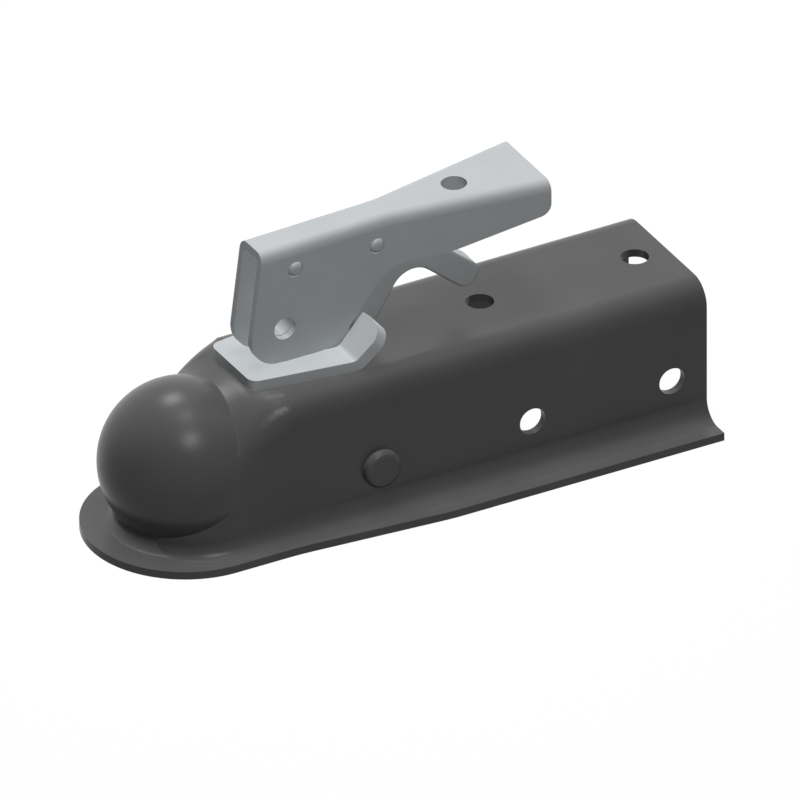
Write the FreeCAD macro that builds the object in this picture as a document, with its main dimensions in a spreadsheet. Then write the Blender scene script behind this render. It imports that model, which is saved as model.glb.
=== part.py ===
import FreeCAD, Part
import Sketcher
import math
import os
import re

# Trailer coupling head for a 1 7/8 in ball, closed and latched, in millimetres.
# Lengths along the coupler are measured from the nose tip, heights from the flange's underside.
# Each piece's Placement then moves it so that the origin is under the middle of the part.

doc = FreeCAD.newDocument("coupling_head")
sizes = doc.addObject("Spreadsheet::Sheet", "sizes")

DRIVING_SIZES = [
    # Pressed housing
    ("overall_length", 234.95, "nose tip to rear edge, 9 1/4 in"),
    ("flange_width", 85.725, "over the foot flange at the rear, 3 3/8 in"),
    ("nose_half_width", 37.9, "radius of the flange round the nose"),
    ("flare_start", 64.0, "where the flange starts to widen"),
    ("flare_end", 124.0, "where the flange reaches its full width"),
    ("flare_blend", 120.0, "radius of the flange's two gentle corners"),
    ("channel_width", 53.975, "between the side walls, 2 1/8 in"),
    ("channel_top", 57.9, "height of the channel's top face"),
    ("sheet_gauge", 3.1, "thickness of the pressed sheet"),
    ("corner_radius", 9.0, "outer radius of the channel's top corners"),
    ("foot_radius", 8.0, "hollow radius between wall and flange"),
    ("foot_sink", 0.05, "the hollow's lower end below the flange's top"),
    ("dome_centre", 36.9, "centre of the ball socket along the coupler"),
    ("dome_height", 27.4, "height of the socket's centre"),
    ("dome_radius", 30.85, "outer radius of the dome"),
    ("dome_foot_radius", 4.0, "hollow radius between dome and flange at the nose"),
    ("neck_front", 18.0, "where the neck's walls start inside the dome"),
    ("neck_centre", 43.6, "centre of the neck's rounded front, seen from above"),
    ("neck_bend", 45.0, "where the neck's shoulders start to rise"),
    ("neck_rear", 66.0, "where the channel's own shape starts"),
    ("neck_fall", 3.2, "how far the neck's crown dips below the channel's top"),
    ("crown_end", 62.0, "where the neck's crown reaches the channel's top"),
    ("crown_rise", 14.4, "neck's crown above its shoulders in front"),
    ("shoulder_climb", 1.3, "how steeply the shoulders start to rise, 1 being their mean slope"),
    ("shoulder_end_climb", 0.4, "how steeply they still rise at the channel"),
    ("shoulder_lean", 3.1, "how far the neck's walls lean in below the shoulders in front"),
    ("shoulder_radius", 4.5, "corner radius of the neck's shoulders in front"),
    ("shoulder_swell", 4.5, "how much larger that radius is half way along the neck"),
    ("neck_stations", 23.0, "number of outlines that the neck runs through"),
    # Holes of the housing
    ("bolt_hole_radius", 5.159375, "six mounting holes, 13/32 in across"),
    ("top_hole_setback", 12.7, "rear edge to the first top hole, 1/2 in"),
    ("top_hole_spacing", 63.5, "between the top holes, 2 1/2 in"),
    ("side_hole_setback", 14.2875, "rear edge to the first side hole, 9/16 in"),
    ("side_hole_spacing", 57.15, "between the side holes, 2 1/4 in"),
    ("side_hole_height", 22.225, "side holes above the flange's underside, 7/8 in"),
    # Latch plate
    ("plate_front", 56.6, "front edge of the latch plate"),
    ("plate_gauge", 4.0, "thickness of the latch plate"),
    ("plate_front_half", 15.0, "half width at the front edge"),
    ("plate_bend", 96.3, "where the rear flap bends up"),
    ("plate_bend_half", 20.8, "half width at the bend"),
    ("flap_angle", 49.0, "slope of the flap above level, degrees"),
    ("flap_length", 15.0, "length of the flap from the bend"),
    ("flap_half", 23.6, "half width at the flap's rear edge"),
    ("flap_corner", 5.5, "radius of the flap's outer corners"),
    ("bend_radius", 3.0, "inside radius of the plate's bends"),
    ("plate_corner", 4.0, "radius of the plate's front corners"),
    ("wall_slot_start", 93.0, "front end of the slots that the lever's walls pass"),
    ("slot_side_gap", 0.3, "gap beside a lever wall in its slot and track"),
    ("track_centre", 83.9, "middle of the cam tracks"),
    ("track_depth", 3.15, "depth of the cam tracks"),
    ("track_radius", 36.0, "radius of the cam tracks' floor"),
    ("tongue_bend", 2.1, "inside radius of the tongue's bend"),
    ("tongue_rear", 102.5, "rear face of the catch tongue"),
    ("tongue_rise", 11.6, "plate's top to the top of the catch tongue"),
    ("window_rise", 2.7, "plate's top to the bottom of the tongue's window"),
    ("window_height", 6.3, "height of the tongue's window"),
    ("window_half", 3.0, "half width of the tongue's window"),
    ("button_radius", 2.5, "radius of the plate's two locating buttons"),
    ("button_height", 2.0, "how far the buttons reach into the housing"),
    ("button_setback", 6.5, "plate's front edge to the buttons"),
    ("button_spread", 8.0, "buttons to the centreline"),
    # Lever
    ("lever_gauge", 2.8, "thickness of the lever's sheet"),
    ("lever_width", 15.875, "over the walls at the front, 5/8 in"),
    ("handle_width", 30.1625, "between the walls at the rear, 1 3/16 in"),
    ("overall_height", 111.125, "top of the handle's rear end, 4 3/8 in"),
    ("lever_front_top", 65.2, "front end of the lever's top"),
    ("lever_front_drop", 3.125, "how much lower the lever's top is at its front end"),
    ("lever_front_foot", 59.4, "front edge's line at the plate"),
    ("lever_heel", 95.5, "rear end of the lever's flat foot"),
    ("handle_start", 117.0, "where the handle's lower edge starts"),
    ("throat_drop", 9.4, "how far that point lies below the handle's rear end"),
    ("handle_turn", 140.0, "where the lower edge starts to rise"),
    ("turn_drop", 8.6, "how far that place lies below the handle's rear end"),
    ("handle_rear", 178.1, "rear end of the handle"),
    ("handle_depth", 12.725, "depth of the handle at its rear end"),
    ("spread_start", 118.5, "where the handle starts to widen"),
    ("spread_blend", 40.0, "radius of that gentle corner"),
    ("toe_radius", 11.0, "radius of the cam corner"),
    ("heel_radius", 9.0, "radius of the foot's rear corner"),
    ("throat_radius", 18.0, "hollow radius under the handle"),
    ("turn_radius", 60.0, "radius of the lower edge where it starts to rise"),
    ("tail_radius", 5.0, "radius of the handle's lower rear corner"),
    ("lever_bend", 4.0, "outer radius of the lever's long bends"),
    ("pivot_place", 78.7, "lever's pivot pin along the coupler"),
    ("pivot_drop", 12.325, "top of the handle's rear end down to the pivot pin"),
    ("trigger_place", 112.2, "trigger's pin along the coupler"),
    ("small_pin_radius", 3.0, "radius of the lever's and trigger's pins"),
    ("pin_dome", 1.3, "how far the domed pin ends stand out"),
    ("pin_rounding", 2.2, "rounding of the domed pin ends"),
    ("lock_hole_radius", 4.365625, "lock pin hole, 11/32 in across"),
    ("lock_hole_place", 74.4, "lock pin hole along the coupler"),
    ("lock_hole_rise", 13.5, "plate's top to the lock pin hole"),
    ("handle_hole_radius", 4.7625, "hole in the handle's top, 3/8 in across"),
    ("handle_hole_place", 148.1, "that hole along the coupler"),
    ("running_gap", 0.05, "radial clearance of a pin in a turning piece"),
    # Trigger
    ("trigger_width", 9.8, "width of the trigger"),
    ("trigger_edge", 0.9, "rounding of the trigger's edges"),
    ("tail_front", 104.6, "front face of the trigger's tail"),
    ("tail_back", 112.5, "rear face of the tail at its lower end"),
    ("tail_gap", 2.0, "plate's top to the lower end of the tail"),
    ("arch_place", 126.8, "corner of the finger arch"),
    ("arch_drop", 11.6, "trigger's pin down to that corner"),
    ("arch_radius", 9.2, "radius of the finger arch"),
    ("tip_low_place", 151.2, "lower corner of the finger tip"),
    ("tip_gap", 5.0, "plate's top to that corner"),
    ("tip_high_place", 157.6, "upper corner of the finger tip"),
    ("tip_depth", 8.1, "lower corner up to the upper one"),
    ("tip_radius", 4.7, "radius of the finger tip"),
    ("tail_corner", 1.75, "rounding of the tail's lower rear corner"),
    ("step_drop", 0.2, "trigger's pin down to its spring seat"),
    ("step_front", 121.5, "front end of the spring seat"),
    ("step_rear", 128.75, "rear end of the spring seat"),
    ("hub_front", 106.2, "front face of the trigger's hub"),
    ("hub_rise", 5.5, "trigger's pin up to the top of its hub"),
    ("hub_radius", 4.0, "front corner radius of the hub"),
    ("hub_rear_radius", 2.8, "rear corner radius of the hub"),
    ("nose_engagement", 2.0, "how deep the nose reaches into the window"),
    ("nose_rise", 1.2, "bottom of the window up to the nose"),
    ("nose_height", 2.8, "height of the nose"),
    ("nose_side_gap", 0.3, "gap beside the nose in the window"),
    # Pull bolt, nut and springs
    ("eye_radius", 5.8, "radius of the bolt's eye"),
    ("lobe_radius", 6.9, "radius of the bolt's lock pin lobe"),
    ("head_gap", 0.4, "bolt head to each lever wall"),
    ("neck_half", 3.6, "half width of the bolt's neck"),
    ("shank_radius", 4.0, "radius of the bolt's shank"),
    ("shank_end", 1.2, "height of the bolt's lower end"),
    ("shank_gap", 0.6, "shank to its slots"),
    ("slot_travel", 3.0, "room for the shank along its slots"),
    ("nut_flats", 13.0, "nut across its flats"),
    ("nut_height", 6.4, "height of the nut's hexagon"),
    ("nut_chamfer", 0.9, "chamfer of the nut's corners"),
    ("nut_bevel_slope", 1.7, "how far that chamfer's cone widens per height"),
    ("shank_chamfer", 0.6, "chamfer of the bolt's lower end"),
    ("collar_height", 1.6, "height of the nut's round collar"),
    ("collar_radius", 6.0, "radius of the nut's round collar"),
    ("insert_radius", 5.1, "outer radius of the nut's locking ring"),
    ("insert_seat_height", 2.6, "depth of the locking ring's seat in the nut"),
    ("insert_height", 2.3, "height of the locking ring"),
    ("washer_gauge", 1.6, "thickness of the jaw washer and the spring seat"),
    ("washer_radius", 9.0, "radius of the jaw washer"),
    ("seat_radius", 12.0, "radius of the spring seat washer"),
    ("spring_radius", 9.0, "mean radius of the jaw spring"),
    ("spring_wire", 1.3, "radius of the jaw spring's wire"),
    ("spring_turns", 5.0, "turns of the jaw spring"),
    ("small_spring_place", 125.2, "trigger spring along the coupler"),
    ("small_spring_radius", 1.9, "mean radius of the trigger spring"),
    ("small_spring_wire", 0.35, "radius of the trigger spring's wire"),
    ("small_spring_turns", 6.0, "turns of the trigger spring"),
    ("spring_gap", 0.1, "spring ends to their seats"),
    # Jaw and its pin
    ("ball_radius", 23.8125, "the towing ball, 1 7/8 in across"),
    ("ball_gap", 0.5, "jaw's hollow face to the ball"),
    ("jaw_place", 101.2, "jaw's pivot along the coupler"),
    ("jaw_height", 21.3, "height of the jaw's pivot"),
    ("jaw_pin_radius", 4.7625, "jaw pin, 3/8 in across"),
    ("jaw_head_radius", 7.3, "radius of the jaw pin's heads"),
    ("jaw_head_height", 3.4, "how far the heads stand out"),
    ("jaw_head_edge", 2.0, "rounding of the heads"),
    ("sleeve_radius", 6.35, "outer radius of the pivot sleeve"),
    ("shim_gauge", 0.9, "thickness of the side washers"),
    ("shim_radius", 10.4, "radius of the side washers"),
    ("side_play", 0.05, "gap on each side of a side washer"),
    ("boss_radius", 10.4, "radius of the jaw's pivot boss"),
    ("jaw_half", 17.0, "half width of the jaw"),
    ("jaw_under", 15.0, "height of the jaw's underside"),
    ("jaw_upper", 23.4, "height of the jaw's top"),
    ("jaw_nose", 45.6, "foremost point of the jaw"),
    ("jaw_nose_low", 3.2, "lowest face of the jaw"),
    ("jaw_chin", 58.0, "rear end of the nose's lower face"),
    ("jaw_throat", 66.0, "front end of the jaw's underside"),
    ("jaw_brow", 61.0, "foot of the jaw's upper lip"),
    ("jaw_lip", 28.0, "height of the jaw's upper lip"),
    ("jaw_lip_lean", 2.0, "how far the lip's rear face leans forward"),
    ("jaw_edge", 1.5, "rounding of the casting's edges"),
    ("pad_half", 10.5, "half length of the rocking pad on the bolt's line"),
    ("pad_low", 12.0, "lowest line of the rocking pad"),
    ("pad_high", 25.0, "highest line of the rocking pad"),
    ("pad_gap", 0.1, "rocking pad to the jaw washer"),
    ("jaw_slot_front", 71.2, "front end of the jaw's slot"),
    ("jaw_slot_rear", 84.4, "rear end of the jaw's slot"),
    # Construction
    ("beyond", 20.0, "how far a cutting form reaches past the piece"),
    ("overlap", 1.0, "how far joined forms run into each other"),
]

for row, (alias, value, note) in enumerate(DRIVING_SIZES, start=1):
    sizes.set("A%d" % row, note)
    sizes.set("B%d" % row, repr(value))
    sizes.setAlias("B%d" % row, alias)
doc.recompute()

# Values that follow from the driving sizes
DERIVED = {
    "centre_shift": "(-overall_length / 2)",
    "channel_inner_half": "(channel_width / 2)",
    "channel_half": "(channel_inner_half + sheet_gauge)",
    "channel_ceiling": "(channel_top - sheet_gauge)",
    "rear_top_hole": "(overall_length - top_hole_setback)",
    "rear_side_hole": "(overall_length - side_hole_setback)",
    "plate_top": "(channel_top + plate_gauge)",
    "tongue_top": "(plate_top + tongue_rise)",
    "window_low": "(plate_top + window_rise)",
    "window_high": "(window_low + window_height)",
    "lock_hole_height": "(plate_top + lock_hole_rise)",
    "tail_low": "(plate_top + tail_gap)",
    "tip_low_height": "(plate_top + tip_gap)",
    "tip_high_height": "(tip_low_height + tip_depth)",
    "nose_low": "(window_low + nose_rise)",
    "nose_high": "(nose_low + nose_height)",
    "lever_front_height": "(overall_height - lever_front_drop)",
    "handle_rear_height": "(overall_height - handle_depth)",
    "handle_start_height": "(handle_rear_height - throat_drop)",
    "handle_turn_height": "(handle_rear_height - turn_drop)",
    "pivot_height": "(overall_height - pivot_drop)",
    "arch_height": "(pivot_height - arch_drop)",
    "spring_step": "(pivot_height - step_drop)",
    "hub_top": "(pivot_height + hub_rise)",
    "flap_end": "(plate_bend + flap_length * cos(flap_angle * 1deg))",
    "flap_rise": "(plate_top + flap_length * sin(flap_angle * 1deg))",
    "flap_spread": "((flap_half - plate_bend_half) / (flap_end - plate_bend))",
    "lever_half": "(lever_width / 2)",
    "lever_inner_half": "(lever_half - lever_gauge)",
    "handle_half": "(handle_width / 2 + lever_gauge)",
    "handle_spread": "((handle_half - lever_half) / (handle_rear - spread_start))",
    "top_slope": "((overall_height - lever_front_height) / (handle_rear - lever_front_top))",
    "head_half": "(lever_inner_half - head_gap)",
    "tongue_half": "(lever_inner_half - slot_side_gap)",
    "track_outer": "(lever_half + slot_side_gap)",
    "tongue_front": "(tongue_rear - plate_gauge)",
    "washer_top": "(pad_low - pad_gap)",
    "nut_top": "(washer_top - washer_gauge)",
    "nut_low": "(nut_top - nut_height)",
    "seat_low": "(channel_ceiling - washer_gauge)",
    "slot_width": "(2 * (shank_radius + shank_gap))",
    "boss_half": "(channel_inner_half - shim_gauge - 2 * side_play)",
}


def formula(text):
    """The text with each size's name written out as cells of the sheet."""
    def cell(match):
        word = match.group(0)
        if word in DERIVED:
            return formula(DERIVED[word])
        if word in CELLS:
            return "sizes." + word
        return word
    return re.sub(r"[a-z_]+", cell, str(text))


CELLS = {alias for alias, value, note in DRIVING_SIZES}


def size(text):
    """The number that a formula gives."""
    return float(sizes.evalExpression(formula(text)))


def bind(target, **formulas):
    """Tie properties of an object to the sheet."""
    for name, text in formulas.items():
        target.setExpression(name.replace("__", "."), formula(text))
    return target


def place(piece):
    """Move a finished piece from nose-tip lengths to the part's own frame."""
    bind(piece, Placement__Base__x="centre_shift")
    PIECES.append(piece)
    return piece


PIECES = []


# Sketches, pads and pockets

def origin_plane(body, role):
    return [feature for feature in body.Origin.OriginFeatures if feature.Role == role][0]


def new_body(label):
    body = doc.addObject("PartDesign::Body", label)
    body.Label = label
    return body


def new_sketch(body, name, role, height=None):
    """A sketch on one of the body's origin planes, raised by height where one is given."""
    sketch = body.newObject("Sketcher::SketchObject", name)
    sketch.AttachmentSupport = [(origin_plane(body, role), "")]
    sketch.MapMode = "FlatFace"
    if height is not None:
        bind(sketch, AttachmentOffset__Base__z=height)
    return sketch


def tie_point(sketch, geometry, point, across, upward):
    """Hold a point of the sketch at two formulas from the origin."""
    for kind, text in (("DistanceX", across), ("DistanceY", upward)):
        index = sketch.addConstraint(Sketcher.Constraint(kind, -1, 1, geometry, point, size(text)))
        sketch.setExpression("Constraints[%d]" % index, formula(text))


def draw_polygon(sketch, corners):
    """A closed polygon whose corners are pairs of formulas."""
    first = sketch.GeometryCount
    count = len(corners)
    spots = [FreeCAD.Vector(size(across), size(upward), 0) for across, upward in corners]
    for index in range(count):
        sketch.addGeometry(Part.LineSegment(spots[index], spots[(index + 1) % count]), False)
    for index in range(count):
        following = first + (index + 1) % count
        sketch.addConstraint(Sketcher.Constraint("Coincident", first + index, 2, following, 1))
    for index, (across, upward) in enumerate(corners):
        tie_point(sketch, first + index, 1, across, upward)


def draw_rectangle(sketch, low_x, low_y, high_x, high_y):
    draw_polygon(sketch, [(low_x, low_y), (high_x, low_y), (high_x, high_y), (low_x, high_y)])


def draw_circle(sketch, across, upward, radius):
    centre = FreeCAD.Vector(size(across), size(upward), 0)
    index = sketch.addGeometry(Part.Circle(centre, FreeCAD.Vector(0, 0, 1), size(radius)), False)
    tie_point(sketch, index, 3, across, upward)
    ring = sketch.addConstraint(Sketcher.Constraint("Radius", index, size(radius)))
    sketch.setExpression("Constraints[%d]" % ring, formula(radius))


def symmetric(body, kind, name, sketch, width):
    """A pad or pocket to both sides of its sketch."""
    feature = body.newObject("PartDesign::" + kind, name)
    feature.Profile = sketch
    feature.SideType = "Symmetric"
    bind(feature, Length=width)
    doc.recompute()
    sketch.Visibility = False
    return feature


def upward_pad(body, name, sketch, height):
    feature = body.newObject("PartDesign::Pad", name)
    feature.Profile = sketch
    bind(feature, Length=height)
    doc.recompute()
    return feature


def edge_names(shape, wanted):
    return ["Edge%d" % number for number, edge in enumerate(shape.Edges, start=1) if wanted(edge)]


def cross_edge_at(across, upward):
    """Test for an edge that runs along Y through a point of the side view."""
    x, z = size(across), size(upward)

    def wanted(edge):
        middle = edge.BoundBox.Center
        straight = edge.BoundBox.YLength > edge.BoundBox.XLength + edge.BoundBox.ZLength
        return straight and math.hypot(middle.x - x, middle.z - z) < 0.05
    return wanted


def fillet(body, name, radius, wanted):
    """Round the wanted edges of the body's tip."""
    base = body.Tip
    feature = body.newObject("PartDesign::Fillet", name)
    feature.Base = (base, edge_names(base.Shape, wanted))
    bind(feature, Radius=radius)
    doc.recompute()
    return feature


# Part primitives and booleans

def cylinder(name, radius, height, across, aside, upward, axis="Z"):
    """A cylinder whose foot is at a point; along Z, or along Y from that point."""
    drum = doc.addObject("Part::Cylinder", name)
    if axis == "Y":
        drum.Placement.Rotation = FreeCAD.Rotation(FreeCAD.Vector(1, 0, 0), -90)
    bind(drum, Radius=radius, Height=height, Placement__Base__x=across,
         Placement__Base__y=aside, Placement__Base__z=upward)
    return drum


def cut(name, base, tools):
    tool = tools[0]
    if len(tools) > 1:
        tool = doc.addObject("Part::MultiFuse", name + "_tools")
        tool.Shapes = tools
    result = doc.addObject("Part::Cut", name)
    result.Base = base
    result.Tool = tool
    result.Label = name
    doc.recompute()
    return result


def fuse(name, pieces):
    result = doc.addObject("Part::MultiFuse", name)
    result.Shapes = pieces
    result.Label = name
    doc.recompute()
    return result


def ring(label, outer, inner, height, across, aside, upward, axis="Z"):
    """A washer, tube or spacer."""
    body = cylinder(label + "_disc", outer, height, across, aside, upward, axis)
    bore = cylinder(label + "_bore", inner, height, across, aside, upward, axis)
    return cut(label, body, [bore])


# Housing: one pressed sheet. Its outer and inner surfaces are the same form, one sheet apart.

def vector(x, y, z):
    return FreeCAD.Vector(x, y, z)


def arc(centre, radius, start, end, point):
    """An arc of a circle between two angles in degrees; point maps (u, v) to space."""
    spots = []
    for angle in (start, (start + end) / 2, end):
        turn = math.radians(angle)
        spots.append(point(centre[0] + radius * math.cos(turn), centre[1] + radius * math.sin(turn)))
    return Part.Arc(*spots).toShape()


def line(start, end):
    return Part.LineSegment(start, end).toShape()


def bowed_side(half, top, corner, lean, rise, inset):
    """Points of one side above the dome's height: wall end, corner arc and the crown's end.

    The wall leans in by lean and the crown rises by rise over the line where both would meet.
    """
    level = size("dome_height")
    meet_y, meet_z = half - lean, top - rise
    climb = meet_z - level
    wall_radius = (climb ** 2 + lean ** 2) / (2 * lean)
    crown_radius = (meet_y ** 2 + rise ** 2) / (2 * rise)
    wall_centre = (half - wall_radius, level)
    crown_centre = (0.0, top - crown_radius)
    # centre of the corner arc: inside both circles by its own radius
    near, far = wall_radius - corner, crown_radius - corner
    apart = math.hypot(wall_centre[0] - crown_centre[0], wall_centre[1] - crown_centre[1])
    along = (near ** 2 - far ** 2 + apart ** 2) / (2 * apart)
    aside = math.sqrt(near ** 2 - along ** 2)
    toward = ((crown_centre[0] - wall_centre[0]) / apart, (crown_centre[1] - wall_centre[1]) / apart)
    spots = []
    for sign in (1, -1):
        y = wall_centre[0] + along * toward[0] - sign * aside * toward[1]
        z = wall_centre[1] + along * toward[1] + sign * aside * toward[0]
        spots.append((math.hypot(y - meet_y, z - meet_z), y, z))
    centre = min(spots)[1:]
    wall_angle = math.degrees(math.atan2(centre[1] - wall_centre[1], centre[0] - wall_centre[0]))
    crown_angle = math.degrees(math.atan2(centre[1] - crown_centre[1], centre[0] - crown_centre[0]))
    return (wall_centre, wall_radius - inset, wall_angle, centre, corner - inset,
            crown_angle, crown_centre, crown_radius - inset)


def channel_section(x, half, top, corner, foot, inset, lip, floor, lean=0.0, rise=0.0):
    """Closed outline across the coupler at x; inset is the depth below the outer surface."""
    reach = half + foot
    foot_height = size("sheet_gauge - foot_sink") + foot
    lip_height = foot_height - foot - inset
    level = size("dome_height")

    def right(y, z):
        return vector(x, y, z)

    def left(y, z):
        return vector(x, -y, z)

    def foot_edges(point):
        if lip > reach:
            edges = [line(point(lip, floor), point(lip, lip_height)),
                     line(point(lip, lip_height), point(reach, lip_height))]
        else:
            edges = [line(point(reach, floor), point(reach, lip_height))]
        edges.append(arc((reach, foot_height), foot + inset, 270, 180, point))
        edges.append(line(point(half - inset, foot_height), point(half - inset, level)))
        return edges

    def straight_side(point):
        return [line(point(half - inset, level), point(half - inset, top - corner)),
                arc((half - corner, top - corner), corner - inset, 0, 90, point)]

    edges = foot_edges(right)
    mirrored = foot_edges(left)
    if rise:
        bowed = bowed_side(half, top, corner, lean, rise, inset)
        wall_centre, wall_radius, wall_angle, centre, bend, crown_angle, crown_centre, crown = bowed
        for point, run in ((right, edges), (left, mirrored)):
            run.append(arc(wall_centre, wall_radius, 0, wall_angle, point))
            run.append(arc(centre, bend, wall_angle, crown_angle, point))
        edges.append(arc(crown_centre, crown, crown_angle, 180 - crown_angle, right))
    else:
        edges += straight_side(right)
        mirrored += straight_side(left)
        edges.append(line(right(half - corner, top - inset), left(half - corner, top - inset)))
    edges += reversed(mirrored)
    outer = max(lip, reach)
    edges.append(line(left(outer, floor), right(outer, floor)))
    return Part.Wire(Part.__sortEdges__(edges))


def dome(inset, lip, floor):
    """Turned form of the nose: dome, hollow foot and lip."""
    foot = size("dome_foot_radius")
    radius = size("dome_radius")
    height = size("dome_height")
    foot_height = size("sheet_gauge - foot_sink") + foot
    lip_height = foot_height - foot - inset
    reach = math.sqrt((radius + foot) ** 2 - (height - foot_height) ** 2)
    slope = math.degrees(math.atan2(foot_height - height, reach))
    middle = size("dome_centre")

    def point(across, upward):
        return vector(middle + across, 0, upward)

    edges = [
        line(point(0, floor), point(0, height + radius - inset)),
        arc((0, height), radius - inset, 90, slope, point),
        arc((reach, foot_height), foot + inset, 180 + slope, 270, point),
    ]
    if lip > reach:
        edges.append(line(point(reach, lip_height), point(lip, lip_height)))
    outer = max(lip, reach)
    edges.append(line(point(outer, lip_height), point(outer, floor)))
    edges.append(line(point(outer, floor), point(0, floor)))
    face = Part.Face(Part.Wire(Part.__sortEdges__(edges)))
    return face.revolve(vector(middle, 0, 0), vector(0, 0, 1), 360)


def eased(value, start, end):
    """Rises from 0 to 1 between start and end without a kink at either."""
    share = min(max((value - start) / (end - start), 0.0), 1.0)
    return share * share * (3 - 2 * share)


def neck_section(x, inset, lip, floor):
    """Outline of the neck at x: rounded like the dome in front, the channel's own shape behind."""
    widest = size("channel_half")
    ahead = max(size("neck_centre") - x, 0.0)
    half = math.sqrt(widest ** 2 - ahead ** 2)
    bend, rear = size("neck_bend"), size("neck_rear")
    run = min(max((x - bend) / (rear - bend), 0.0), 1.0)
    share = (size("shoulder_climb") * run * (1 - run) ** 2 + run * run * (3 - 2 * run)
             - size("shoulder_end_climb") * run * run * (1 - run))
    scale = half / widest
    level = size("dome_height")
    top = size("channel_top") - (1 - eased(x, bend, size("crown_end"))) * size("neck_fall")
    top = level + scale * (top - level)
    rise = scale * (1 - share) * size("crown_rise")
    lean = scale * (1 - share) * size("shoulder_lean")
    corner = size("shoulder_radius") + share * size("corner_radius - shoulder_radius")
    corner += size("shoulder_swell") * 4 * run * (1 - run)
    spread = (x - size("neck_front")) / (rear - size("neck_front"))
    foot = size("dome_foot_radius") + spread * size("foot_radius - dome_foot_radius")
    return channel_section(x, half, top, corner, foot, inset, lip, floor, lean, rise)


def pressed_form(inset, lip, floor, rear):
    """Solid up to the sheet's outer surface, or up to its inner surface with an inset."""
    front = size("neck_front")
    neck_rear = size("neck_rear")
    count = int(size("neck_stations"))
    sections = [neck_section(front + (neck_rear - front) * index / (count - 1), inset, lip, floor)
                for index in range(count)]
    neck = Part.makeLoft(sections, True, False)
    channel = Part.Face(sections[-1]).extrude(vector(rear - neck_rear, 0, 0))
    return dome(inset, lip, floor).fuse([neck, channel]).removeSplitter()


def rounded_line(points, radius):
    """Edges through the points, each inner corner turned into an arc of the radius."""
    edges = []
    start = points[0]
    for before, corner, after in zip(points, points[1:], points[2:]):
        inward = (before - corner).normalize()
        outward = (after - corner).normalize()
        half_angle = inward.getAngle(outward) / 2
        setback = radius / math.tan(half_angle)
        middle = (inward + outward).normalize()
        crown = corner + middle * (radius / math.sin(half_angle) - radius)
        first = corner + inward * setback
        last = corner + outward * setback
        edges.append(line(start, first))
        edges.append(Part.Arc(first, crown, last).toShape())
        start = last
    edges.append(line(start, points[-1]))
    return edges


def flange_outline(low, high):
    """Prism of the flange's outline seen from above."""
    rear = size("overall_length")
    half = size("flange_width / 2")
    nose = size("nose_half_width")
    right = [vector(nose, nose, low), vector(size("flare_start"), nose, low),
             vector(size("flare_end"), half, low), vector(rear, half, low)]
    left = [vector(point.x, -point.y, low) for point in reversed(right)]
    edges = rounded_line(right, size("flare_blend"))
    edges.append(line(right[-1], left[0]))
    edges += rounded_line(left, size("flare_blend"))
    edges.append(Part.Arc(left[-1], vector(0, 0, low), right[0]).toShape())
    return Part.Face(Part.Wire(edges)).extrude(vector(0, 0, high - low))


def make_housing():
    gauge = size("sheet_gauge")
    rear = size("overall_length")
    beyond = size("beyond")
    wide_lip = size("flange_width / 2 + beyond")
    outer = pressed_form(0.0, wide_lip, 0.0, rear)
    outer = outer.common(flange_outline(-beyond, size("channel_top + beyond")))
    outer = outer.fuse(flange_outline(0.0, gauge)).removeSplitter()
    inner = pressed_form(gauge, 0.0, -beyond, rear + beyond)
    shell = outer.cut(inner)
    tools = []
    for place_x in ("rear_top_hole", "rear_top_hole - top_hole_spacing"):
        tools.append(Part.makeCylinder(size("bolt_hole_radius"), 2 * beyond,
                                       vector(size(place_x), 0, size("channel_ceiling - beyond"))))
    width = size("flange_width")
    for place_x in ("rear_side_hole", "rear_side_hole - side_hole_spacing"):
        tools.append(Part.makeCylinder(size("bolt_hole_radius"), width,
                                       vector(size(place_x), -width / 2, size("side_hole_height")),
                                       vector(0, 1, 0)))
    tools.append(Part.makeCylinder(size("jaw_pin_radius"), width,
                                   vector(size("jaw_place"), -width / 2, size("jaw_height")),
                                   vector(0, 1, 0)))
    for side in (-1, 1):
        tools.append(Part.makeCylinder(size("button_radius"), 2 * beyond,
                                       vector(size("plate_front + button_setback"),
                                              side * size("button_spread"),
                                              size("channel_ceiling - beyond"))))
    travel = size("slot_travel")
    hole = size("slot_width / 2")
    low = size("channel_ceiling - beyond")
    pivot = size("pivot_place")
    slot = Part.makeBox(2 * travel, 2 * hole, 2 * beyond, vector(pivot - travel, -hole, low))
    for end in (-travel, travel):
        slot = slot.fuse(Part.makeCylinder(hole, 2 * beyond, vector(pivot + end, 0, low)))
    tools.append(slot)
    housing = doc.addObject("Part::Feature", "housing")
    housing.Label = "housing"
    housing.Shape = shell.cut(tools)
    return place(housing)


# Latch plate: saddle plate with a flap, cam tracks, wall slots and a catch tongue

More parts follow.
